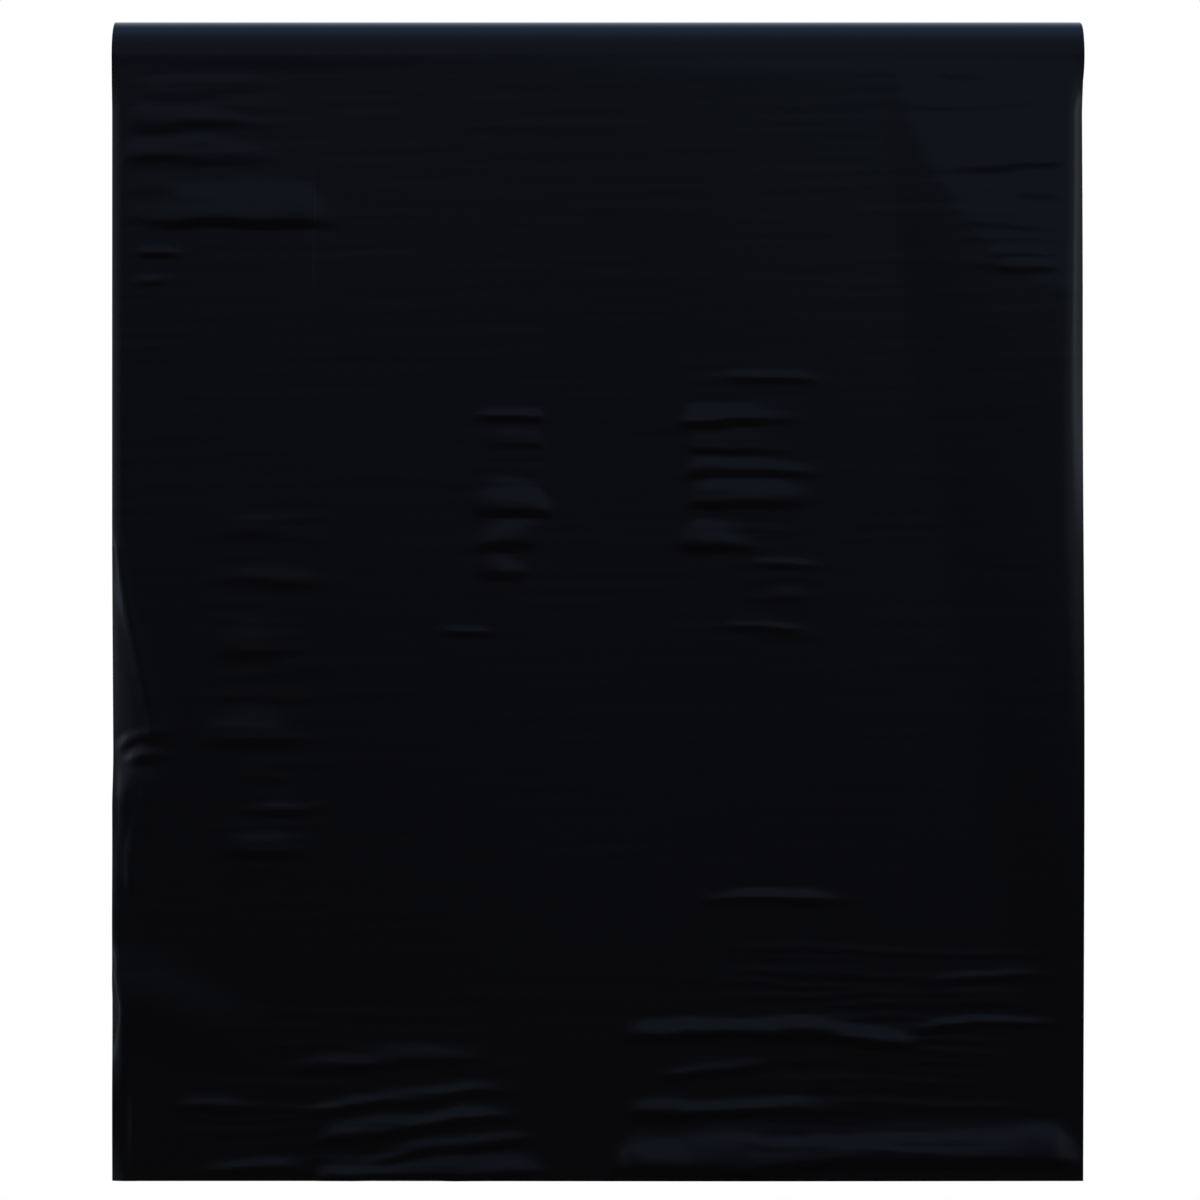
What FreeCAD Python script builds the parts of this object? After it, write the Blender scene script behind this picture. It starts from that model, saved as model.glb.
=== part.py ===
import FreeCAD, Part
import math
import os
import Sketcher

# A roll of self-adhesive sign vinyl that hangs from a spindle, with its loose end hanging down
# in front. Millimetres and degrees. The origin is the middle of the roll's axis: +X runs along
# the axis, -Y is the side that the loose web hangs on, and +Z is up.
# The web is two layers: the face film with its adhesive, outermost, and the release liner.

DRIVING_DIMENSIONS = (
    ("web_width", 610.0, "width of the stock, 24 inch"),
    ("film_thickness", 0.10, "face film with its adhesive"),
    ("liner_thickness", 0.135, "silicone-coated release liner"),
    ("roll_radius", 22.85, "from the axis to the outside of the last turn"),
    ("hanging_length", 708.0, "loose web, from the level of the axis down"),
    ("running_gap", 0.30, "from the roll's widest radius to the loose web"),
    ("facets_per_turn", 24, "flats that stand for one round turn of the web"),
    ("core_bore", 25.4, "inside diameter of the paper core, 1 inch"),
    ("core_wall", 1.5, "wall of the paper core"),
    ("tape_thickness", 0.10, "double-sided tape between the core and the web's start"),
    ("tape_length", 580.0, "along the core"),
    ("tape_flats", 4, "flats of the first turn that the tape lies under"),
    ("plug_clearance", 0.05, "radial running clearance of a plug in the core"),
    ("plug_depth", 22.0, "length of a plug"),
    ("plug_wall", 1.6, "wall of a plug's outer sleeve"),
    ("plug_chamfer", 0.6, "lead-in at a plug's inner end"),
    ("disc_thickness", 2.0, "disc that joins a plug's hub to its sleeve"),
    ("hub_wall", 2.0, "wall of a plug's hub"),
    ("rib_thickness", 1.4, "ribs between a plug's hub and sleeve"),
    ("rib_setback", 3.0, "from a plug's outer face down to its ribs"),
    ("rib_count", 6, "ribs in a plug"),
    ("spindle_bore", 13.0, "bore of a plug, for a half-inch spindle"),
)


def make_sheet(document):
    """Put every driving dimension in an aliased cell."""
    sheet = document.addObject("Spreadsheet::Sheet", "dimensions")
    for row, (alias, value, note) in enumerate(DRIVING_DIMENSIONS, start=1):
        sheet.set(f"A{row}", alias)
        sheet.set(f"B{row}", str(value))
        sheet.setAlias(f"B{row}", alias)
        sheet.set(f"C{row}", note)
    document.recompute()
    return sheet


def sized(expression):
    """Turn words of the sheet, marked with $, into a reference that setExpression reads."""
    return expression.replace("$", "dimensions.")


def make_body(document, label):
    body = document.addObject("PartDesign::Body", label)
    body.Label = label
    return body


def add_sketch(body, name, plane_role, height=None):
    """Add a sketch on one of the body's own origin planes, raised by an expression."""
    plane = next(item for item in body.Origin.OriginFeatures if item.Role == plane_role)
    sketch = body.newObject("Sketcher::SketchObject", f"{body.Label}_{name}_sketch")
    sketch.AttachmentSupport = [(plane, "")]
    sketch.MapMode = "FlatFace"
    if height is not None:
        sketch.setExpression(".AttachmentOffset.Base.z", sized(height))
    return sketch


def constrain(sketch, name, expression, *arguments):
    """Add a named dimension to a sketch and bind it to the sheet."""
    number = sketch.addConstraint(Sketcher.Constraint(*arguments))
    sketch.renameConstraint(number, name)
    sketch.setExpression(f"Constraints.{name}", sized(expression))


def add_circle(sketch, name, diameter, drawn_radius):
    """Add a circle round the sketch's origin, with its diameter bound to the sheet."""
    centre = FreeCAD.Vector(0, 0, 0)
    normal = FreeCAD.Vector(0, 0, 1)
    circle = sketch.addGeometry(Part.Circle(centre, normal, drawn_radius), False)
    sketch.addConstraint(Sketcher.Constraint("Coincident", circle, 3, -1, 1))
    constrain(sketch, name, diameter, "Diameter", circle, 2 * drawn_radius)


def add_pad(body, name, sketch, length, symmetric=False):
    pad = body.newObject("PartDesign::Pad", f"{body.Label}_{name}")
    pad.Profile = sketch
    pad.setExpression("Length", sized(length))
    if symmetric:
        pad.SideType = "Symmetric"
    return pad


def add_pocket(body, name, sketch, depth):
    """Cut down from a sketch, and make sure that material has gone."""
    solid_before = body.Shape.Volume
    pocket = body.newObject("PartDesign::Pocket", f"{body.Label}_{name}")
    pocket.Profile = sketch
    pocket.setExpression("Length", sized(depth))
    body.Document.recompute()
    if body.Shape.Volume >= solid_before:
        raise ValueError(f"{pocket.Name} cuts nothing")
    return pocket


def circle_edge(feature, radius, height):
    """Name the circular edge of a feature that has this radius and lies at this height."""
    for number, edge in enumerate(feature.Shape.Edges, start=1):
        if not isinstance(edge.Curve, Part.Circle):
            continue
        right_radius = math.isclose(edge.Curve.Radius, radius, abs_tol=1e-6)
        right_height = math.isclose(edge.Curve.Center.z, height, abs_tol=1e-6)
        if right_radius and right_height:
            return f"Edge{number}"
    raise ValueError(f"{feature.Name} has no circle of radius {radius} at {height}")


def make_core_plug(document, sheet, label, outward):
    """A moulded plug, flush with the core's end: sleeve, disc, hub and ribs round a bore.

    It is built with its inner end at its own origin and +Z towards its outer end, and then
    turned so that +Z points outward along the roll: outward is +1 or -1 along X.
    """
    body = make_body(document, label)
    plug_diameter = "$core_bore - 2 * $plug_clearance"
    sleeve_bore = f"{plug_diameter} - 2 * $plug_wall"
    hub_diameter = "$spindle_bore + 2 * $hub_wall"

    blank = add_sketch(body, "blank", "XY_Plane")
    add_circle(blank, "plug_diameter", plug_diameter, 12)
    add_pad(body, "blank", blank, "$plug_depth")
    document.recompute()

    cavity = add_sketch(body, "cavity", "XY_Plane", "$plug_depth")
    add_circle(cavity, "sleeve_bore", sleeve_bore, 11)
    add_circle(cavity, "hub_diameter", hub_diameter, 8)
    add_pocket(body, "cavity", cavity, "$plug_depth - $disc_thickness")

    rib = add_rib_sketch(body, sleeve_bore, hub_diameter)
    rib_pad = add_pad(body, "rib", rib, "$plug_depth - $disc_thickness - $rib_setback")
    ribs = body.newObject("PartDesign::PolarPattern", f"{label}_ribs")
    ribs.Originals = [rib_pad]
    ribs.Axis = (blank, ["N_Axis"])
    ribs.Angle = 360
    ribs.setExpression("Occurrences", sized("$rib_count"))
    body.Tip = ribs
    document.recompute()

    bore = add_sketch(body, "bore", "XY_Plane", "$plug_depth")
    add_circle(bore, "spindle_bore", "$spindle_bore", 6)
    bored = add_pocket(body, "bore", bore, "$plug_depth")

    lead_in = body.newObject("PartDesign::Chamfer", f"{label}_lead_in")
    plug_radius = sheet.core_bore / 2 - sheet.plug_clearance
    lead_in.Base = (bored, [circle_edge(bored, plug_radius, 0)])
    lead_in.setExpression("Size", sized("$plug_chamfer"))

    body.Placement.Rotation = FreeCAD.Rotation(FreeCAD.Vector(0, 0, 1), FreeCAD.Vector(outward, 0, 0))
    body.setExpression("Placement.Base.x", sized(f"{outward} * ($web_width / 2 - $plug_depth)"))
    return body


def add_rib_sketch(body, sleeve_bore, hub_diameter):
    """One rib seen along the plug: a rectangle that runs into the hub and into the sleeve."""
    sketch = add_sketch(body, "rib", "XY_Plane", "$disc_thickness")
    inner, outer, half = 8.0, 11.0, 0.5
    corners = [(inner, -half), (outer, -half), (outer, half), (inner, half)]
    for start, end in zip(corners, corners[1:] + corners[:1]):
        line = Part.LineSegment(FreeCAD.Vector(*start, 0), FreeCAD.Vector(*end, 0))
        sketch.addGeometry(line, False)
    bottom, right, top, left = range(4)
    for line, next_line in ((bottom, right), (right, top), (top, left), (left, bottom)):
        sketch.addConstraint(Sketcher.Constraint("Coincident", line, 2, next_line, 1))
    for line in (bottom, top):
        sketch.addConstraint(Sketcher.Constraint("Horizontal", line))
    sketch.addConstraint(Sketcher.Constraint("Vertical", right))
    sketch.addConstraint(Sketcher.Constraint("Symmetric", bottom, 1, top, 2, -1))
    constrain(sketch, "thickness", "$rib_thickness", "Distance", right, 2 * half)
    inner_end = f"({hub_diameter}) / 2 - $hub_wall / 2"
    outer_end = f"({sleeve_bore}) / 2 + $plug_wall / 2"
    constrain(sketch, "inner_end", inner_end, "DistanceX", -1, 1, bottom, 1, inner)
    constrain(sketch, "outer_end", outer_end, "DistanceX", -1, 1, bottom, 2, outer)
    return sketch


def make_core_tube(document):
    """The paper tube that the web is wound on, cut square and as long as the web is wide."""
    body = make_body(document, "core_tube")
    ring = add_sketch(body, "ring", "YZ_Plane")
    add_circle(ring, "core_bore", "$core_bore", 12)
    add_circle(ring, "core_diameter", "$core_bore + 2 * $core_wall", 14)
    add_pad(body, "tube", ring, "$web_width", symmetric=True)
    return body


class WoundPath:
    """The web's spiral in the YZ plane, as flats, from the core to where it leaves the roll.

    An angle of 0 is at +Y and it grows towards +Z, so the web comes off over the top and ends
    at 180 degrees, at the front. Each turn lies on the one below it.
    """

    END_ANGLE = 180.0

    def __init__(self, sheet):
        self.web_thickness = sheet.film_thickness + sheet.liner_thickness
        self.step_angle = 360.0 / sheet.facets_per_turn
        self.step_growth = self.web_thickness / sheet.facets_per_turn
        self.end_radius = sheet.roll_radius - self.web_thickness
        tape_radius = sheet.core_bore / 2 + sheet.core_wall + sheet.tape_thickness
        flats_clear_radius = tape_radius / math.cos(math.radians(self.step_angle / 2))
        self.facets = int((self.end_radius - flats_clear_radius) / self.step_growth)
        self.start_angle = (self.END_ANGLE - self.facets * self.step_angle) % 360.0

    def point(self, corner, depth):
        """A corner of the spiral, at this depth outward from the liner's inner face."""
        corners_left = self.facets - corner
        angle = math.radians(self.END_ANGLE - corners_left * self.step_angle)
        radius = self.end_radius - corners_left * self.step_growth + depth
        return FreeCAD.Vector(0, radius * math.cos(angle), radius * math.sin(angle))

    def layer(self, inner_depth, outer_depth, flats=None):
        """The closed outline of a layer along the whole spiral, or along its first flats."""
        corners = range((flats or self.facets) + 1)
        inner = [self.point(corner, inner_depth) for corner in corners]
        outer = [self.point(corner, outer_depth) for corner in reversed(corners)]
        return Part.makePolygon(inner + outer + inner[:1])


def make_wound_layer(document, label, outline, length):
    """A layer on the roll: its outline of flats, drawn out evenly to both sides of the middle."""
    layer = document.addObject("Part::Feature", label)
    layer.Label = label
    layer.Shape = Part.Face(outline).extrude(FreeCAD.Vector(length, 0, 0))
    layer.Placement.Base = FreeCAD.Vector(-length / 2, 0, 0)
    return layer


def make_hanging_layer(document, label, thickness, back_face):
    """One layer of the loose web, with its back at this distance in front of the axis."""
    layer = document.addObject("Part::Box", label)
    layer.Label = label
    layer.setExpression("Length", sized("$web_width"))
    layer.setExpression("Width", sized(thickness))
    layer.setExpression("Height", sized("$hanging_length"))
    layer.setExpression("Placement.Base.x", sized("-$web_width / 2"))
    layer.setExpression("Placement.Base.y", sized(f"-({back_face} + {thickness})"))
    layer.setExpression("Placement.Base.z", sized("-$hanging_length"))
    return layer


def check_document(document, parts):
    """Stop if any feature failed or any sub-part isn't one sound solid."""
    for item in document.Objects:
        if "Invalid" in item.State or "Error" in item.State:
            raise ValueError(f"{item.Name} did not compute")
    for part in parts:
        if part.Shape.isNull() or not part.Shape.isValid():
            raise ValueError(f"{part.Label} has no valid shape")
        if len(part.Shape.Solids) != 1:
            raise ValueError(f"{part.Label} is not one solid")


def main():
    document = FreeCAD.newDocument("vinyl_roll")
    sheet = make_sheet(document)
    path = WoundPath(sheet)
    liner = path.layer(0, sheet.liner_thickness)
    film = path.layer(sheet.liner_thickness, path.web_thickness)
    tape = path.layer(-sheet.tape_thickness, 0, flats=int(sheet.tape_flats))
    liner_back = "$roll_radius + $running_gap"
    film_back = f"{liner_back} + $liner_thickness"
    parts = [
        make_core_plug(document, sheet, "core_plug_left", -1),
        make_core_plug(document, sheet, "core_plug_right", 1),
        make_core_tube(document),
        make_wound_layer(document, "core_start_tape", tape, sheet.tape_length),
        make_wound_layer(document, "wound_liner", liner, sheet.web_width),
        make_wound_layer(document, "wound_film", film, sheet.web_width),
        make_hanging_layer(document, "hanging_liner", "$liner_thickness", liner_back),
        make_hanging_layer(document, "hanging_film", "$film_thickness", film_back),
    ]
    document.recompute()
    check_document(document, parts)
    os.makedirs("parts", exist_ok=True)
    for part in parts:
        part.Shape.exportStep(os.path.join("parts", f"{part.Label}.step"))
        bounds = part.Shape.BoundBox
        print(f"{part.Label}: {part.Shape.Volume:.1f} mm3, x {bounds.XMin:.2f} to {bounds.XMax:.2f},"
              f" y {bounds.YMin:.2f} to {bounds.YMax:.2f}, z {bounds.ZMin:.2f} to {bounds.ZMax:.2f}")
    print(f"web wound in {path.facets} flats from {path.start_angle:.0f} degrees")


main()
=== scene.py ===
import math

import bpy
import numpy as np
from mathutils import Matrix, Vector


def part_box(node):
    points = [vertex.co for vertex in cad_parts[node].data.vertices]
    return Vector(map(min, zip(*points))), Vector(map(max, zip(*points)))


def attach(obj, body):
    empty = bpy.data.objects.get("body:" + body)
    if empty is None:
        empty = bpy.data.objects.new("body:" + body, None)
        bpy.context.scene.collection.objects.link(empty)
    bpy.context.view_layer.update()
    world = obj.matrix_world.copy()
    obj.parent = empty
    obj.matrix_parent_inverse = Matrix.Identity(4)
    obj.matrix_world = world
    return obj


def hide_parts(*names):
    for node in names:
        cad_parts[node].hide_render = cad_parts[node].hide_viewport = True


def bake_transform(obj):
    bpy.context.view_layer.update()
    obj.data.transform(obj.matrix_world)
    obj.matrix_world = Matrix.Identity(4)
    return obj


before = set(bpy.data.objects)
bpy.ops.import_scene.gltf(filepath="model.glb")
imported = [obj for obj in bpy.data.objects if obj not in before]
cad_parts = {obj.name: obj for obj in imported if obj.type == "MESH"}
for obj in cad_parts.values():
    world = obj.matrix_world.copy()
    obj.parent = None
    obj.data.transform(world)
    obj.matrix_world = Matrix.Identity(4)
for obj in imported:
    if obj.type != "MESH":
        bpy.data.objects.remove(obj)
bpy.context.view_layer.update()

# The looks of a roll of glossy black sign vinyl, hung by its core with the loose end hanging
# down in front. Metres, in the CAD frame: +X along the roll's axis, -Y to the viewer, +Z up.

# ---------------------------------------------------------------- sizes, from the CAD frame

loose_low, loose_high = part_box("hanging_film")
liner_low, liner_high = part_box("hanging_liner")
pack_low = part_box("wound_film")[0]
core_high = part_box("core_tube")[1]

HALF_WIDTH = loose_high[0]
LOOSE_LENGTH = loose_high[2] - loose_low[2]
FILM_THICKNESS = loose_high[1] - loose_low[1]
LINER_THICKNESS = liner_high[1] - liner_low[1]
WEB_THICKNESS = FILM_THICKNESS + LINER_THICKNESS
ROLL_RADIUS = -pack_low[1]
CORE_RADIUS = core_high[1]
CORE_BORE_RADIUS = 0.0127
TAPE_THICKNESS = 0.0001
LAYER_GAP = 0.00001
TURN_LENGTH = 2 * math.pi * ROLL_RADIUS

MILLIMETRE = 0.001
HALF_WIDTH_MM = HALF_WIDTH / MILLIMETRE

# The steepest part of a smoothstep is this many times as steep as the whole of it.
STEEPEST = 1.5


def smoothstep(low, high, value):
    """0 below low, 1 above high, and a smooth rise between them. Works on arrays."""
    share = np.clip((value - low) / (high - low), 0.0, 1.0)
    return share * share * (3.0 - 2.0 * share)


def add_mesh(name, vertices, faces):
    """A new smooth-shaded object."""
    mesh = bpy.data.meshes.new(name)
    mesh.from_pydata([tuple(vertex) for vertex in vertices], [], faces)
    mesh.polygons.foreach_set("use_smooth", [True] * len(mesh.polygons))
    mesh.validate()
    mesh.update()
    piece = bpy.data.objects.new(name, mesh)
    bpy.context.scene.collection.objects.link(piece)
    return piece


# ---------------------------------------------------------------- shape of the loose web

def fold(start, end, crest, reach, tilt=0.17, drop=4.0, slant=0.0, bow=0.0, fade=(14, 14)):
    """A low fold across the web, in millimetres, from x start to x end. It rises gently towards
    its crest over reach, with slope tilt, and falls away below it within drop. slant is how
    fast the crest climbs along x, bow how far its middle stands above its ends, and fade the
    lengths over which it dies out at its two ends."""
    return dict(
        start=start, end=end, crest=crest, reach=reach, height=tilt * reach / STEEPEST,
        drop=drop, slant=slant, bow=bow, fade=fade,
    )


def fold_height(x, z, shape):
    """How far one fold stands out of the web. It is narrower where it dies out."""
    narrowest, widening = 0.45, 0.55
    middle = (shape["start"] + shape["end"]) / 2
    half = (shape["end"] - shape["start"]) / 2
    along = (x - middle) / half
    crest = shape["crest"] + shape["slant"] * (x - middle) + shape["bow"] * (1.0 - along**2)
    first = smoothstep(0.0, shape["fade"][0], x - shape["start"])
    last = smoothstep(0.0, shape["fade"][1], shape["end"] - x)
    strength = first * last
    reach = shape["reach"] * (narrowest + widening * strength)
    above = z - crest
    profile = np.where(
        above > 0.0,
        1.0 - smoothstep(0.0, 1.0, above / reach),
        1.0 - smoothstep(0.0, shape["drop"], -above),
    )
    return shape["height"] * profile * strength


WAVE_COUNT = 20


def waves(x, z, length_x, length_z, seed):
    """A smooth random surface of about unit height, with waves of about these lengths."""
    draw = np.random.default_rng(seed)
    surface = np.zeros_like(x)
    for _ in range(WAVE_COUNT):
        turn_x = draw.normal(0.0, 1.0) / length_x
        turn_z = draw.uniform(0.6, 1.4) / length_z
        phase = draw.uniform(0.0, 2.0 * math.pi)
        surface += np.sin(2.0 * math.pi * (turn_x * x + turn_z * z) + phase)
    return surface * math.sqrt(2.0 / WAVE_COUNT)


def patch(x, z, centre, half_x, half_z):
    """1 in the middle of an area and 0 outside it, with a soft border. Millimetres."""
    reach = np.sqrt(((x - centre[0]) / half_x) ** 2 + ((z - centre[1]) / half_z) ** 2)
    return 1.0 - smoothstep(0.3, 1.0, reach)


STRAIGHT_SIDE_FADE = 8.0


def fold_stack(start, end, top, bottom, count, seed, tilt, straight_side=None):
    """Fine folds one below the other between z top and z bottom, of uneven length and spacing.
    Those with a straight side all begin, or all end, at the same x."""
    draw = np.random.default_rng(seed)
    spacing = (top - bottom) / count
    folds = []
    for number in range(count):
        crest = top - spacing * (number + draw.uniform(0.2, 0.8))
        length = (end - start) * draw.uniform(0.35, 0.95)
        slack = (end - start) - length
        first = start + slack * draw.uniform(0.0, 1.0)
        fade = [length * draw.uniform(0.2, 0.45), length * draw.uniform(0.2, 0.45)]
        if straight_side == "left":
            first = start
            fade[0] = STRAIGHT_SIDE_FADE
        if straight_side == "right":
            first = end - length
            fade[1] = STRAIGHT_SIDE_FADE
        reach = spacing * draw.uniform(0.55, 0.95)
        steepness = tilt * draw.uniform(0.6, 1.2)
        slant = draw.normal(0.0, 0.02)
        folds.append(
            fold(first, first + length, crest, reach, steepness, drop=2.5, slant=slant, fade=fade)
        )
    return tuple(folds)


UPPER_LEFT = (
    fold(-292, -205, -23, 10, tilt=0.055, drop=6, slant=0.04, fade=(20, 40)),
    fold(-298, -190, -43, 15, tilt=0.06, drop=7, fade=(10, 70)),
    fold(-298, -188, -64, 14, tilt=0.07, drop=7, fade=(10, 70)),
    fold(-303, -158, -104, 28, tilt=0.085, drop=5, slant=-0.02, fade=(60, 36)),
    fold(-290, -256, -127, 6, tilt=0.24, drop=3, slant=-0.05),
    fold(-298, -270, -143, 4, tilt=0.20, drop=3, slant=0.10),
)
UPPER_RIGHT = (
    fold(188, 296, -33, 11, tilt=0.03, fade=(16, 40)),
    fold(210, 300, -71, 12, tilt=0.05, drop=4, fade=(30, 20)),
    fold(222, 296, -107, 8, tilt=0.05, drop=3, slant=-0.04, fade=(14, 30)),
    fold(244, 290, -127, 5, tilt=0.14, drop=3, slant=-0.03),
    fold(248, 290, -135, 5, tilt=0.20, drop=3, slant=-0.03),
)
MIDDLE_LEFT = (
    fold(-76, -31, -228, 6, tilt=0.24, drop=3, fade=(12, 6)),
    fold(-72, -31, -246, 10, tilt=0.06, drop=4, fade=(14, 8)),
    fold(-80, -27, -287, 24, tilt=0.11, drop=5, fade=(20, 18)),
    fold(-80, -33, -307, 22, tilt=0.12, drop=6, slant=0.1, fade=(20, 18)),
    fold(-75, -44, -325, 17, tilt=0.11, drop=6, fade=(14, 14)),
    fold(-100, -61, -363, 5, tilt=0.22, drop=3),
)
MIDDLE_RIGHT = (
    fold(66, 146, -203, 5, tilt=0.20, drop=3, fade=(24, 30)),
    fold(49, 138, -230, 12, tilt=0.17, drop=4, fade=(17, 64)),
    fold(54, 136, -248, 15, tilt=0.06, drop=4, fade=(9, 50)),
    fold(51, 144, -264, 12, tilt=0.11, drop=4, fade=(14, 40)),
    fold(50, 142, -282, 17, tilt=0.13, drop=5, fade=(18, 44)),
    fold(50, 104, -308, 20, tilt=0.13, drop=6, fade=(20, 34)),
    fold(88, 144, -323, 5, tilt=0.18, drop=3, fade=(24, 20)),
    fold(92, 140, -340, 6, tilt=0.10, drop=4, fade=(24, 20)),
    fold(72, 134, -361, 4, tilt=0.26, drop=3, fade=(14, 20)),
)
LEFT_SIDE = (
    fold(-250, -186, -299, 14, tilt=0.05, drop=8, fade=(30, 30)),
    fold(-240, -170, -330, 12, tilt=0.06, drop=8, fade=(30, 30)),
    fold(-246, -190, -372, 20, tilt=0.07, drop=10, slant=0.05, fade=(26, 26)),
    fold(-256, -180, -430, 26, tilt=0.08, drop=8, fade=(36, 36)),
    fold(-226, -166, -475, 7, tilt=0.15, drop=3, fade=(20, 30)),
    fold(-238, -180, -501, 16, tilt=0.10, drop=6, fade=(24, 24)),
)
LOWER_RIGHT = (
    fold(58, 162, -530, 8, tilt=0.28, drop=4, slant=0.02, fade=(40, 46)),
    fold(182, 298, -582, 5, tilt=0.24, drop=3, slant=0.06, fade=(40, 40)),
    fold(16, 205, -622, 11, tilt=0.27, drop=5, slant=-0.03, bow=9, fade=(18, 24)),
    fold(192, 300, -611, 6, tilt=0.30, drop=4, slant=0.05, bow=3, fade=(20, 40)),
    fold(36, 108, -640, 7, tilt=0.18, slant=0.10),
    fold(14, 168, -663, 10, tilt=0.24, drop=6, slant=0.03, fade=(14, 60)),
    fold(8, 304, -696, 25, tilt=0.21, drop=6, slant=0.025, fade=(22, 18)),
)
LOWER_LEFT = (
    fold(-306, -200, -606, 42, tilt=0.06, drop=36, slant=-0.25, fade=(4, 80)),
    fold(-270, -212, -661, 7, tilt=0.24, drop=4, fade=(20, 20)),
    fold(-206, -60, -634, 12, tilt=0.16, slant=0.08, fade=(50, 50)),
    fold(-190, -45, -657, 10, tilt=0.20, slant=0.13, fade=(30, 40)),
    fold(-182, -48, -675, 12, tilt=0.24, slant=0.14, fade=(20, 40)),
    fold(-150, -28, -688, 9, tilt=0.20, slant=0.12, fade=(30, 30)),
    fold(-250, -176, -700, 8, tilt=0.23, slant=0.06, fade=(20, 20)),
    fold(-177, -26, -704, 15, tilt=0.22, slant=0.03, fade=(14, 30)),
)
FINE_FOLDS = (
    fold_stack(-298, -200, -12, -98, 9, seed=21, tilt=0.04)
    + fold_stack(200, 300, -8, -140, 9, seed=22, tilt=0.03)
    + fold_stack(-82, -31, -236, -300, 9, seed=23, tilt=0.04, straight_side="right")
    + fold_stack(55, 146, -205, -300, 14, seed=25, tilt=0.05, straight_side="left")
    + fold_stack(80, 146, -308, -372, 7, seed=26, tilt=0.04)
    + fold_stack(-262, -150, -280, -520, 24, seed=27, tilt=0.035)
    + fold_stack(40, 300, -560, -690, 22, seed=28, tilt=0.09)
    + fold_stack(-290, -30, -600, -706, 24, seed=29, tilt=0.10)
)
FOLDS = (
    UPPER_LEFT + UPPER_RIGHT + MIDDLE_LEFT + MIDDLE_RIGHT
    + LEFT_SIDE + LOWER_RIGHT + LOWER_LEFT + FINE_FOLDS
)

# The rest of the web's shape, in millimetres. The scratch fades in and out between two depths
# below the axis.
SCRATCH_X = -178.0
SCRATCH_HALF_WIDTH = 0.3
SCRATCH_RIM = 0.8
SCRATCH_HEIGHT = 0.15
SCRATCH_STARTS = (10.0, 100.0)
SCRATCH_STOPS = (146.0, 152.0)

RIDGE_HALF_WIDTH = 3.2
RIDGE_FADE = 12.0

SHIFT_ACROSS = 1.8
LONG_SHIFT_DOWN = 1.0
SHORT_SHIFT_DOWN = 0.5
RIPPLE_HEIGHT = 0.012
SWELL_HEIGHT = 0.9
BELLY_HEIGHT = 4.0


def slack_corner(x, z):
    """The upper right corner, where the web leans out of its plane down to a curved border.
    Below the border it falls back, over a longer way the further right it is."""
    left_end, width, height, lean = 177.0, 120.0, 148.0, 0.038
    shortest_fall, added_fall = 40.0, 420.0
    inside = np.clip((x - left_end) / width, 0.0, 1.0)
    border = height * (1.0 - (1.0 - inside) ** 2) * smoothstep(0.0, 0.15, inside)
    fall = shortest_fall + border + added_fall * inside
    fallen = smoothstep(0.0, 1.0, (-z - border) / fall)
    return lean * np.minimum(-z, border) * (1.0 - fallen)


def scratch(x, z):
    """A fine raised line down the upper left of the web."""
    across = 1.0 - smoothstep(SCRATCH_HALF_WIDTH, SCRATCH_RIM, np.abs(x - SCRATCH_X))
    down = smoothstep(*SCRATCH_STARTS, -z) * (1.0 - smoothstep(*SCRATCH_STOPS, -z))
    return SCRATCH_HEIGHT * across * down


def ridge(x, z, line_x, top, bottom, height):
    """A fine raised crease that follows line_x, an x for each z, between two heights."""
    ends = smoothstep(0.0, RIDGE_FADE, top - z) * smoothstep(0.0, RIDGE_FADE, z - bottom)
    return height * ends * np.exp(-((x - line_x) / RIDGE_HALF_WIDTH) ** 2)


def left_pinch(x, z):
    """The left edge, pinched a little over half way down. One crease runs down to the pinch
    and one away from it, the web is crumpled between them, and the margin is uneven below."""
    down = np.clip((-z - 300.0) / 130.0, 0.0, 1.0)
    to_pinch = -302.0 + 27.0 * down**1.4
    height = ridge(x, z, to_pinch, top=-300.0, bottom=-436.0, height=0.9)

    away = np.clip((-z - 448.0) / 60.0, 0.0, 1.0)
    from_pinch = -276.0 - 18.0 * away**0.7
    height += ridge(x, z, from_pinch, top=-446.0, bottom=-530.0, height=0.8)

    crumple_height, crumple_lift, margin_height = 0.6, 0.5, 0.30
    crumpled = patch(x, z, centre=(-287, -434), half_x=17, half_z=17)
    height += crumpled * (crumple_height * waves(x, z, 26, 17, seed=31) + crumple_lift)
    margin = smoothstep(-282.0, -298.0, x) * smoothstep(430.0, 500.0, -z)
    return height + margin_height * margin * waves(x, z, 14, 120, seed=37)


def relief(x, z):
    """How far the loose web stands out of its plane. All in millimetres. The folds are moved
    about a little by waves, so that none is straight. Under them the whole web has ripples and
    swells, and its right side bellies out half way down."""
    x_moved = x + SHIFT_ACROSS * waves(x, z, 160, 45, seed=3)
    z_moved = z + LONG_SHIFT_DOWN * waves(x, z, 110, 60, seed=5)
    z_moved = z_moved + SHORT_SHIFT_DOWN * waves(x, z, 35, 40, seed=6)
    height = np.zeros_like(x)
    for shape in FOLDS:
        height += fold_height(x_moved, z_moved, shape)
    height += slack_corner(x, z) + scratch(x, z) + left_pinch(x, z)
    height += RIPPLE_HEIGHT * waves(x, z, 200, 11, seed=17)
    height += SWELL_HEIGHT * np.sin(x / 92.0 + 0.6) * np.sin(z / 150.0 + 0.4)
    half_turn = -math.pi * z * MILLIMETRE / LOOSE_LENGTH
    height += BELLY_HEIGHT * smoothstep(-20.0, 180.0, x) * np.sin(half_turn)
    return height * smoothstep(1.0, 12.0, -z)


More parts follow.
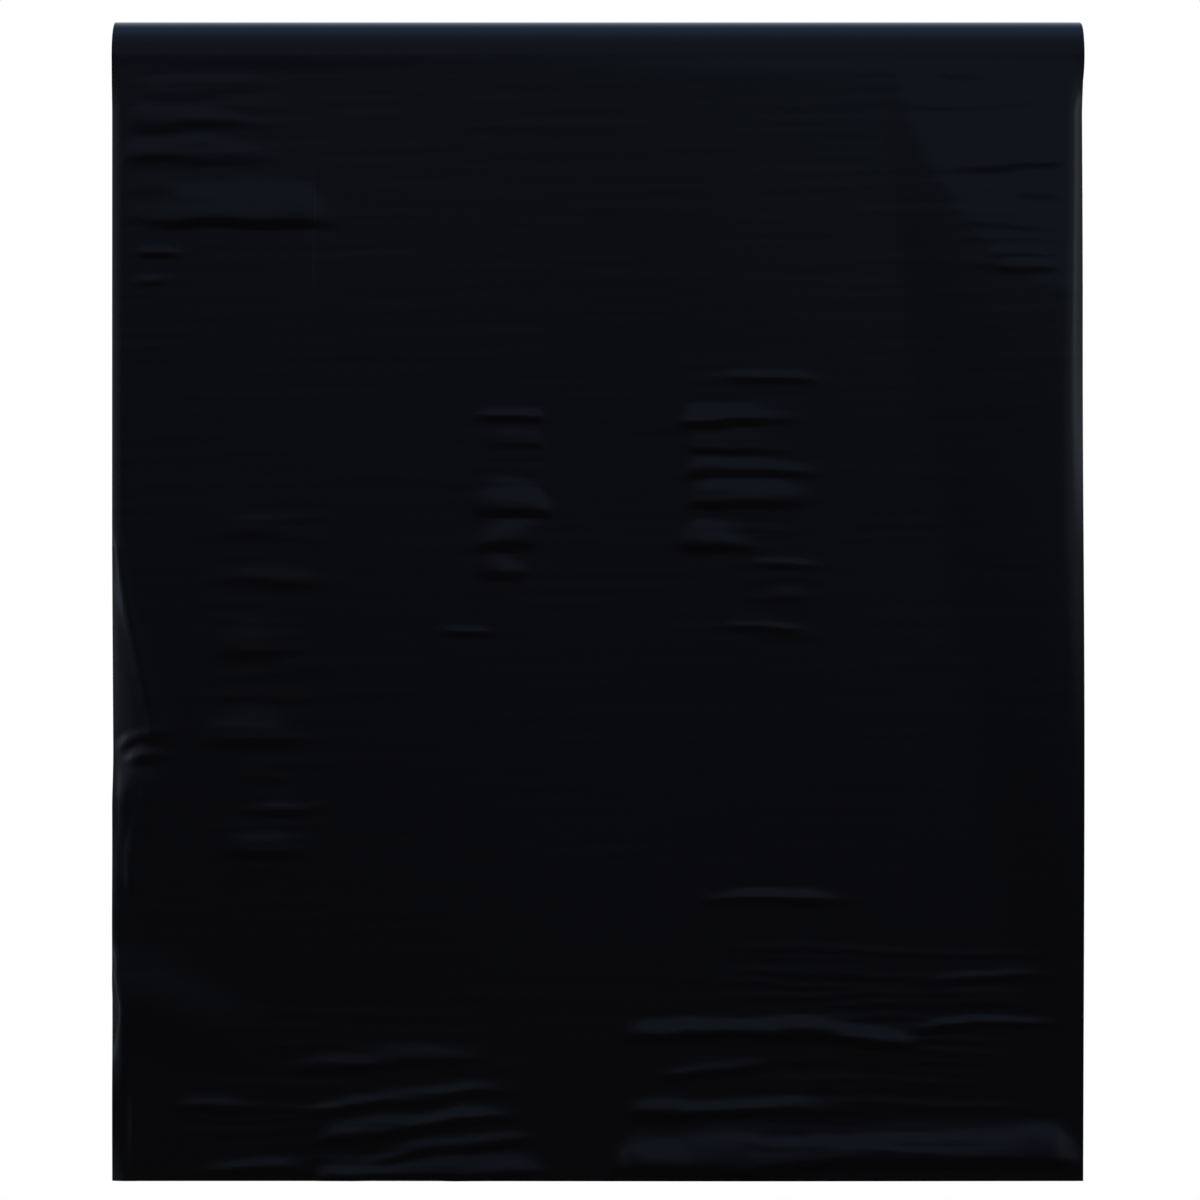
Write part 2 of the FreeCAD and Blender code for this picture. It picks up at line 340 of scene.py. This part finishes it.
def web_turn(x, z):
    """How far the web has turned back about a vertical line, in radians, at each point. The
    right side sweeps back very slightly, a little above half way down. A strip along each side
    curls: the right one most at the top, and the left one over a wider strip at the pinch."""
    half_way = np.exp(-((z + 280.0) / 150.0) ** 2)
    sweep = 0.015 * smoothstep(40.0, 300.0, x) * half_way

    right_strip = 11.0 + 7.0 * half_way
    right_strength = 0.03 + 0.45 * (1.0 - smoothstep(120.0, 520.0, -z))
    into_right = 1.0 - (HALF_WIDTH_MM - x) / right_strip
    right = right_strength * smoothstep(0.0, 0.8, into_right)

    pinch = np.clip((-z - 290.0) / 145.0, 0.0, 1.0) ** 1.6
    pinch = pinch * (1.0 - smoothstep(438.0, 474.0, -z))
    left_strip = 8.0 + 24.0 * pinch
    left_strength = 0.35 - 0.07 * pinch
    into_left = 1.0 - (HALF_WIDTH_MM + x) / left_strip
    left = left_strength * smoothstep(0.0, 1.0, into_left)
    return (sweep + right - left) * smoothstep(0.0, 40.0, -z)


# How finely the web is divided, and the x where many folds begin or end.
WEB_COLUMNS = 119
WRAP_ROWS = 40
LOOSE_ROWS = 360
COLUMN_SAMPLES = 2000
EXTRA_DENSITY = 2.0
FOLD_SIDES = (-32.0, 56.0, 12.0)


def web_columns():
    """Distances across the flat web, closer together near both edges, where the folds have a
    straight side, and at the scratch."""
    edge_reach, fold_reach = 16.0, 6.0
    fine = np.linspace(-HALF_WIDTH_MM, HALF_WIDTH_MM, COLUMN_SAMPLES)
    density = 1.0 + EXTRA_DENSITY * np.exp(-((HALF_WIDTH_MM - np.abs(fine)) / edge_reach) ** 2)
    for fold_side in FOLD_SIDES:
        density += EXTRA_DENSITY * np.exp(-((fine - fold_side) / fold_reach) ** 2)
    share = np.concatenate([[0.0], np.cumsum((density[1:] + density[:-1]) / 2)])
    columns = np.interp(np.linspace(0.0, share[-1], WEB_COLUMNS), share, fine)
    clear_of_rim, flank = 2.5, 1.6
    clear = columns[np.abs(columns - SCRATCH_X) > clear_of_rim * SCRATCH_RIM]
    offsets = np.array([SCRATCH_HALF_WIDTH, SCRATCH_RIM, flank * SCRATCH_RIM])
    offsets = np.concatenate([-offsets, offsets])
    return np.sort(np.concatenate([clear, SCRATCH_X + offsets])) * MILLIMETRE


def loose_web():
    """The face of the loose web: its points, how far they are turned back, and its relief."""
    across = web_columns()
    down = -np.linspace(0.0, LOOSE_LENGTH, LOOSE_ROWS + 1)[1:]
    flat_x, z = np.meshgrid(across, down)
    turn = web_turn(flat_x / MILLIMETRE, z / MILLIMETRE)
    steps = np.diff(flat_x, axis=1)
    step_turn = (turn[:, 1:] + turn[:, :-1]) / 2
    start = np.zeros((len(down), 1))
    x = np.hstack([start, np.cumsum(steps * np.cos(step_turn), axis=1)])
    back = np.hstack([start, np.cumsum(steps * np.sin(step_turn), axis=1)])
    middle = len(across) // 2
    x += across[middle] - x[:, middle:middle + 1]
    back -= back[:, middle:middle + 1]
    out = relief(flat_x / MILLIMETRE, z / MILLIMETRE) * MILLIMETRE
    return x, back - ROLL_RADIUS, z, turn, out


LOOSE_WEB = loose_web()


def web_surface(depth):
    """Points of the web this far behind its face, as rows from under the roll, over its top
    and down to the free end."""
    across = web_columns()
    rows = []
    for run in np.linspace(-TURN_LENGTH, 0.0, WRAP_ROWS + 1):
        angle = math.pi + run / ROLL_RADIUS
        radius = ROLL_RADIUS + WEB_THICKNESS * run / TURN_LENGTH - depth
        row = np.empty((len(across), 3))
        row[:, 0] = across
        row[:, 1] = radius * math.cos(angle)
        row[:, 2] = radius * math.sin(angle)
        rows.append(row)
    x, y, z, turn, out = LOOSE_WEB
    loose = np.stack([x - depth * np.sin(turn), y - out + depth * np.cos(turn), z], axis=2)
    return np.concatenate([np.array(rows), loose])


def slab_faces(rows, columns):
    """Faces of a closed slab: a front grid, a back grid after it, and a rim between them."""
    def front(row, column):
        return row * columns + column

    def back(row, column):
        return rows * columns + row * columns + column

    faces = []
    for row in range(rows - 1):
        below = row + 1
        for column in range(columns - 1):
            right = column + 1
            faces.append(
                (front(row, column), front(below, column), front(below, right), front(row, right))
            )
            faces.append(
                (back(row, column), back(row, right), back(below, right), back(below, column))
            )
        for column, order in ((0, 1), (columns - 1, -1)):
            rim = (front(row, column), back(row, column), back(below, column), front(below, column))
            faces.append(rim[::order])
    last = rows - 1
    for column in range(columns - 1):
        right = column + 1
        faces.append((front(0, column), front(0, right), back(0, right), back(0, column)))
        faces.append(
            (front(last, column), back(last, column), back(last, right), front(last, right))
        )
    return faces


def add_web_layer(name, face_depth, back_depth):
    face = web_surface(face_depth)
    back = web_surface(back_depth)
    rows, columns = face.shape[:2]
    vertices = np.concatenate([face.reshape(-1, 3), back.reshape(-1, 3)])
    layer = add_mesh(name, vertices, slab_faces(rows, columns))
    layer.data.set_sharp_from_angle(angle=math.radians(60))
    return layer


# ---------------------------------------------------------------- the wound turns and the core

STEPS_PER_TURN = 90


def turn_shift(turns_in):
    """How far sideways a turn has slipped, in metres, this many turns in from the outside."""
    mean = 0.55
    slow = 0.35 * math.sin(0.9 * turns_in)
    quick = 0.22 * math.sin(2.3 * turns_in + 1.0)
    return (mean + slow + quick) * MILLIMETRE


def add_turns(name, inner_depth, outer_depth):
    """One layer of the wound pack: a spiral strip that stops one turn below the outermost."""
    outside = ROLL_RADIUS - 2 * WEB_THICKNESS
    inside = CORE_RADIUS + TAPE_THICKNESS + WEB_THICKNESS
    turns = (outside - inside) / WEB_THICKNESS
    steps = int(turns * STEPS_PER_TURN)
    section = ((inner_depth, -1), (outer_depth, -1), (outer_depth, 1), (inner_depth, 1))
    vertices = []
    for step in range(steps + 1):
        turns_in = (steps - step) / STEPS_PER_TURN
        angle = math.pi - 2 * math.pi * turns_in
        base = outside - WEB_THICKNESS * turns_in - WEB_THICKNESS
        shift = turn_shift(turns_in)
        for depth, side in section:
            radius = base + depth
            x = side * HALF_WIDTH + shift
            vertices.append((x, radius * math.cos(angle), radius * math.sin(angle)))
    faces = []
    for step in range(steps):
        for corner in range(4):
            other = (corner + 1) % 4
            here, there = step * 4, step * 4 + 4
            faces.append((here + corner, here + other, there + other, there + corner))
    last = steps * 4
    faces.append((3, 2, 1, 0))
    faces.append((last, last + 1, last + 2, last + 3))
    strip = add_mesh(name, vertices, faces)
    strip.data.set_sharp_from_angle(angle=math.radians(40))
    return strip


def add_core():
    """The paper tube, with its cut ends very slightly rounded."""
    sides = 128
    rim = 0.15 * MILLIMETRE
    end = core_high[0]
    outline = [
        (CORE_BORE_RADIUS, -end + rim),
        (CORE_BORE_RADIUS + rim, -end),
        (CORE_RADIUS - rim, -end),
        (CORE_RADIUS, -end + rim),
        (CORE_RADIUS, end - rim),
        (CORE_RADIUS - rim, end),
        (CORE_BORE_RADIUS + rim, end),
        (CORE_BORE_RADIUS, end - rim),
    ]
    vertices = []
    for side in range(sides):
        angle = 2 * math.pi * side / sides
        for radius, x in outline:
            vertices.append((x, radius * math.cos(angle), radius * math.sin(angle)))
    count = len(outline)
    faces = []
    for side in range(sides):
        here, there = side * count, (side + 1) % sides * count
        for corner in range(count):
            other = (corner + 1) % count
            faces.append((here + corner, there + corner, there + other, here + other))
    core = add_mesh("paper_core", vertices, faces)
    core.data.set_sharp_from_angle(angle=math.radians(30))
    return core


# ---------------------------------------------------------------- materials

def new_material(name):
    material = bpy.data.materials.new(name)
    material.use_nodes = True
    nodes = material.node_tree.nodes
    return material, nodes, material.node_tree.links, nodes["Principled BSDF"]


def add_noise(nodes, links, vector, scale, detail=3.0):
    noise = nodes.new("ShaderNodeTexNoise")
    noise.inputs["Scale"].default_value = scale
    noise.inputs["Detail"].default_value = detail
    links.new(vector, noise.inputs["Vector"])
    return noise.outputs["Fac"]


def stretched(nodes, links, scale=(1.0, 1.0, 1.0)):
    """Object coordinates, multiplied by a scale for each axis. A pattern is drawn out along an
    axis whose scale is smaller than the others."""
    place = nodes.new("ShaderNodeTexCoord")
    mapping = nodes.new("ShaderNodeMapping")
    mapping.inputs["Scale"].default_value = scale
    links.new(place.outputs["Object"], mapping.inputs["Vector"])
    return mapping.outputs["Vector"]


def remap(nodes, links, value, low, high, to_low, to_high):
    span = nodes.new("ShaderNodeMapRange")
    span.inputs["From Min"].default_value = low
    span.inputs["From Max"].default_value = high
    span.inputs["To Min"].default_value = to_low
    span.inputs["To Max"].default_value = to_high
    links.new(value, span.inputs["Value"])
    return span.outputs["Result"]


def add_ramp(nodes, links, value, stops):
    """A colour for each value, blended between stops. A stop is a position and a colour."""
    ramp = nodes.new("ShaderNodeValToRGB")
    elements = ramp.color_ramp.elements
    for element, (position, colour) in zip(elements, (stops[0], stops[-1])):
        element.position = position
        element.color = (*colour, 1.0)
    for position, colour in stops[1:-1]:
        elements.new(position).color = (*colour, 1.0)
    links.new(value, ramp.inputs["Fac"])
    return ramp.outputs["Color"]


def add_bump(nodes, links, height, distance, under=None):
    """A normal for a height. Under it there may be another bump's normal."""
    bump = nodes.new("ShaderNodeBump")
    bump.inputs["Strength"].default_value = 1.0
    bump.inputs["Distance"].default_value = distance
    links.new(height, bump.inputs["Height"])
    if under is not None:
        links.new(under, bump.inputs["Normal"])
    return bump.outputs["Normal"]


def make_black_vinyl():
    material, nodes, links, shader = new_material("glossy_black_vinyl")
    shader.inputs["Base Color"].default_value = (0.0138, 0.0127, 0.0144, 1.0)
    shader.inputs["IOR"].default_value = 1.5
    shader.inputs["Specular Tint"].default_value = (0.70, 0.81, 1.0, 1.0)
    haze = add_noise(nodes, links, stretched(nodes, links, (1.0, 1.0, 1.6)), 9.0)
    links.new(remap(nodes, links, haze, 0.3, 0.7, 0.05, 0.09), shader.inputs["Roughness"])
    ripple = add_noise(nodes, links, stretched(nodes, links, (6.0, 1.0, 90.0)), 1.0, detail=2.0)
    grain = add_noise(nodes, links, stretched(nodes, links), 1400.0, detail=1.0)
    rippled = add_bump(nodes, links, ripple, 0.00015)
    links.new(add_bump(nodes, links, grain, 0.00001, under=rippled), shader.inputs["Normal"])
    return material


def make_release_liner():
    material, nodes, links, shader = new_material("release_liner_paper")
    shader.inputs["IOR"].default_value = 1.45
    fibre = add_noise(nodes, links, stretched(nodes, links, (1.0, 1.0, 1.4)), 260.0, detail=5.0)
    cloud = add_noise(nodes, links, stretched(nodes, links), 14.0, detail=4.0)
    whites = ((0.35, (0.765, 0.755, 0.725)), (0.65, (0.81, 0.80, 0.765)))
    links.new(add_ramp(nodes, links, cloud, whites), shader.inputs["Base Color"])
    links.new(remap(nodes, links, fibre, 0.3, 0.7, 0.34, 0.46), shader.inputs["Roughness"])
    links.new(add_bump(nodes, links, fibre, 0.00003), shader.inputs["Normal"])
    return material


def make_core_paper():
    material, nodes, links, shader = new_material("spiral_paper_core")
    shader.inputs["Roughness"].default_value = 0.85
    fibre = add_noise(nodes, links, stretched(nodes, links), 900.0, detail=4.0)
    browns = ((0.3, (0.30, 0.20, 0.12)), (0.7, (0.48, 0.35, 0.22)))
    links.new(add_ramp(nodes, links, fibre, browns), shader.inputs["Base Color"])
    links.new(add_bump(nodes, links, fibre, 0.00006), shader.inputs["Normal"])
    return material


def make_plug_plastic():
    material, nodes, links, shader = new_material("moulded_black_plastic")
    grain = add_noise(nodes, links, stretched(nodes, links), 1800.0, detail=2.0)
    cloud = add_noise(nodes, links, stretched(nodes, links), 120.0)
    blacks = ((0.0, (0.020, 0.021, 0.023)), (1.0, (0.040, 0.041, 0.044)))
    links.new(add_ramp(nodes, links, cloud, blacks), shader.inputs["Base Color"])
    links.new(remap(nodes, links, cloud, 0.3, 0.7, 0.38, 0.52), shader.inputs["Roughness"])
    links.new(add_bump(nodes, links, grain, 0.00003), shader.inputs["Normal"])
    return material


def make_tape():
    material, nodes, links, shader = new_material("starting_tape")
    shader.inputs["Roughness"].default_value = 0.4
    cloud = add_noise(nodes, links, stretched(nodes, links), 200.0)
    ambers = ((0.0, (0.62, 0.58, 0.46)), (1.0, (0.78, 0.75, 0.64)))
    links.new(add_ramp(nodes, links, cloud, ambers), shader.inputs["Base Color"])
    return material


def finish_with(piece, material):
    """Give a piece one material in every slot it has."""
    slots = piece.data.materials
    if not slots:
        slots.append(material)
    for number in range(len(slots)):
        slots[number] = material


# ---------------------------------------------------------------- pieces

vinyl = make_black_vinyl()
liner_paper = make_release_liner()
plug_plastic = make_plug_plastic()

face_film = add_web_layer("face_film", 0.0, FILM_THICKNESS)
finish_with(face_film, vinyl)
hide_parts("hanging_film")

back_liner = add_web_layer("back_liner", FILM_THICKNESS + LAYER_GAP, WEB_THICKNESS)
finish_with(back_liner, liner_paper)
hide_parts("hanging_liner")

for layer in (face_film, back_liner):
    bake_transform(layer)

film_turns = add_turns("film_turns", LINER_THICKNESS, WEB_THICKNESS)
finish_with(film_turns, vinyl)
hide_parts("wound_film")

liner_turns = add_turns("liner_turns", 0.0, LINER_THICKNESS - LAYER_GAP)
finish_with(liner_turns, liner_paper)
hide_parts("wound_liner")

paper_core = add_core()
finish_with(paper_core, make_core_paper())
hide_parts("core_tube")

for piece in (film_turns, liner_turns, paper_core):
    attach(piece, "roll")

finish_with(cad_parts["core_start_tape"], make_tape())
for node in ("core_plug_left", "core_plug_right"):
    finish_with(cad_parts[node], plug_plastic)


# ---------------------------------------------------------------- floor, light and camera

FLOOR_RADIUS = 4.0
FLOOR_DROP = 0.75


def add_floor():
    """A pale round floor below the free end, too low to come into the front view. Only the camera
    sees it, so that it doesn't shine in the film. It has a painted glow, faint near the middle and
    stronger towards its rim, so that it fades into the white."""
    bpy.ops.mesh.primitive_circle_add(
        vertices=128,
        radius=FLOOR_RADIUS,
        fill_type="NGON",
        location=(0.0, 0.0, loose_low[2] - FLOOR_DROP),
    )
    floor = bpy.context.object
    floor.name = "floor"
    floor.visible_glossy = False
    floor.visible_diffuse = False
    material, nodes, links, shader = new_material("pale_floor")
    shader.inputs["Base Color"].default_value = (0.80, 0.765, 0.69, 1.0)
    shader.inputs["Roughness"].default_value = 0.9
    shader.inputs["Emission Color"].default_value = (1.0, 1.0, 1.0, 1.0)
    place = nodes.new("ShaderNodeTexCoord")
    distance = nodes.new("ShaderNodeVectorMath")
    distance.operation = "LENGTH"
    links.new(place.outputs["Object"], distance.inputs[0])
    # Painted glow: the floor's emission rises from the middle out to its rim, in place of light
    # falling on it.
    painted_glow = remap(nodes, links, distance.outputs["Value"], 0.5, FLOOR_RADIUS, 0.12, 0.8)
    links.new(painted_glow, shader.inputs["Emission Strength"])
    finish_with(floor, material)


def add_maths(nodes, links, operation, first, second):
    """A Math node. Each input is a node's output or a number."""
    maths = nodes.new("ShaderNodeMath")
    maths.operation = operation
    for number, value in enumerate((first, second)):
        if isinstance(value, float):
            maths.inputs[number].default_value = value
        else:
            links.new(value, maths.inputs[number])
    return maths.outputs["Value"]


def mix_colour(nodes, links, share, colour, other):
    """A node's colour, blended towards another: a fixed colour or a node's grey value."""
    mix = nodes.new("ShaderNodeMixRGB")
    links.new(share, mix.inputs["Fac"])
    links.new(colour, mix.inputs["Color1"])
    if isinstance(other, tuple):
        mix.inputs["Color2"].default_value = other
    else:
        links.new(other, mix.inputs["Color2"])
    return mix.outputs["Color"]


# What the film reflects in front and overhead: dark low down in front, pale blue overhead.
STUDIO_STOPS = (
    (0.0, (0.006, 0.006, 0.008)),
    (0.04, (0.014, 0.015, 0.020)),
    (0.08, (0.032, 0.040, 0.054)),
    (0.13, (0.064, 0.083, 0.110)),
    (0.17, (0.108, 0.144, 0.180)),
    (0.34, (0.111, 0.145, 0.186)),
    (0.54, (0.151, 0.183, 0.250)),
    (0.68, (0.200, 0.324, 0.490)),
    (0.83, (0.133, 0.263, 0.52)),
)
BACK_COLOUR = (0.73, 0.78, 0.83, 1.0)
PANEL_SIDEWAYS = 0.77


def add_world():
    """White behind the object for the camera. For everything else it is a studio with a dark
    side towards -Y, low down most of all, a soft light overhead, beside and behind, and a
    brighter upright panel to each side."""
    world = bpy.data.worlds.new("studio")
    bpy.context.scene.world = world
    world.use_nodes = True
    nodes, links = world.node_tree.nodes, world.node_tree.links
    nodes.clear()
    place = nodes.new("ShaderNodeTexCoord")
    parts = nodes.new("ShaderNodeSeparateXYZ")
    links.new(place.outputs["Generated"], parts.inputs["Vector"])
    side, back, up = (parts.outputs[axis] for axis in "XYZ")

    lean = nodes.new("ShaderNodeVectorMath")
    lean.operation = "DOT_PRODUCT"
    lean.inputs[1].default_value = (0.0, 0.36, 0.30)
    links.new(place.outputs["Generated"], lean.inputs[0])
    to_right = remap(nodes, links, side, -0.30, 0.20, 0.424, 0.460)
    place_on_ramp = add_maths(nodes, links, "ADD", lean.outputs["Value"], to_right)
    front_light = add_ramp(nodes, links, place_on_ramp, STUDIO_STOPS)

    sideways = add_maths(nodes, links, "ABSOLUTE", side, 0.0)
    to_side = remap(nodes, links, sideways, 0.25, 0.80, 0.0, 1.0)
    from_panel = add_maths(nodes, links, "SUBTRACT", sideways, PANEL_SIDEWAYS)
    from_panel = add_maths(nodes, links, "ABSOLUTE", from_panel, 0.0)
    panel = remap(nodes, links, from_panel, 0.02, 0.15, 0.46, 0.0)
    side_light = remap(nodes, links, up, 0.0, 0.6, 0.27, 0.45)
    side_light = add_maths(nodes, links, "ADD", side_light, panel)
    with_sides = mix_colour(nodes, links, to_side, front_light, side_light)
    to_back = remap(nodes, links, back, 0.30, 0.95, 0.0, 1.0)
    colour = mix_colour(nodes, links, to_back, with_sides, BACK_COLOUR)

    behind = add_maths(nodes, links, "MAXIMUM", back, 0.0)
    open_side = add_maths(nodes, links, "ADD", sideways, behind)
    low_light = remap(nodes, links, open_side, 0.25, 0.65, 0.15, 0.60)
    height = remap(nodes, links, up, -0.5, 0.15, 0.0, 1.0)
    strength = nodes.new("ShaderNodeMix")
    links.new(height, strength.inputs["Factor"])
    links.new(low_light, strength.inputs["A"])
    strength.inputs["B"].default_value = 1.0

    studio = nodes.new("ShaderNodeBackground")
    links.new(colour, studio.inputs["Color"])
    links.new(strength.outputs["Result"], studio.inputs["Strength"])
    white = nodes.new("ShaderNodeBackground")
    white.inputs["Color"].default_value = (1.0, 1.0, 1.0, 1.0)
    seen = nodes.new("ShaderNodeLightPath")
    choose = nodes.new("ShaderNodeMixShader")
    links.new(seen.outputs["Is Camera Ray"], choose.inputs["Fac"])
    links.new(studio.outputs["Background"], choose.inputs[1])
    links.new(white.outputs["Background"], choose.inputs[2])
    out = nodes.new("ShaderNodeOutputWorld")
    links.new(choose.outputs["Shader"], out.inputs["Surface"])


def add_softbox(name, place, target, size, power):
    """A soft rectangular studio light, which is seen neither directly nor in the film."""
    light = bpy.data.lights.new(name, "AREA")
    light.shape = "RECTANGLE"
    light.size, light.size_y = size
    light.energy = power
    lamp = bpy.data.objects.new(name, light)
    lamp.location = place
    aim = Vector(target) - Vector(place)
    lamp.rotation_euler = aim.to_track_quat("-Z", "Y").to_euler()
    lamp.visible_camera = False
    lamp.visible_glossy = False
    bpy.context.scene.collection.objects.link(lamp)


CAMERA_LENS = 108.5
CAMERA_SIDE = 0.0016
CAMERA_DISTANCE = 2.27
CAMERA_HEIGHT = -0.3432


def add_camera():
    """Square on to the loose web, about half way down it, with a long lens."""
    camera = bpy.data.cameras.new("camera")
    camera.lens = CAMERA_LENS
    camera.sensor_width = 36.0
    camera.clip_end = 50.0
    holder = bpy.data.objects.new("camera", camera)
    holder.location = (CAMERA_SIDE, -ROLL_RADIUS - CAMERA_DISTANCE, CAMERA_HEIGHT)
    holder.rotation_euler = (math.radians(90), 0.0, 0.0)
    bpy.context.scene.collection.objects.link(holder)
    bpy.context.scene.camera = holder


add_floor()
add_world()
add_softbox(
    "back_softbox",
    place=(1.1, 1.7, 1.1),
    target=(0.0, 0.0, -0.3),
    size=(1.2, 0.7),
    power=34.0,
)
add_camera()
bpy.context.scene.view_settings.view_transform = "Standard"
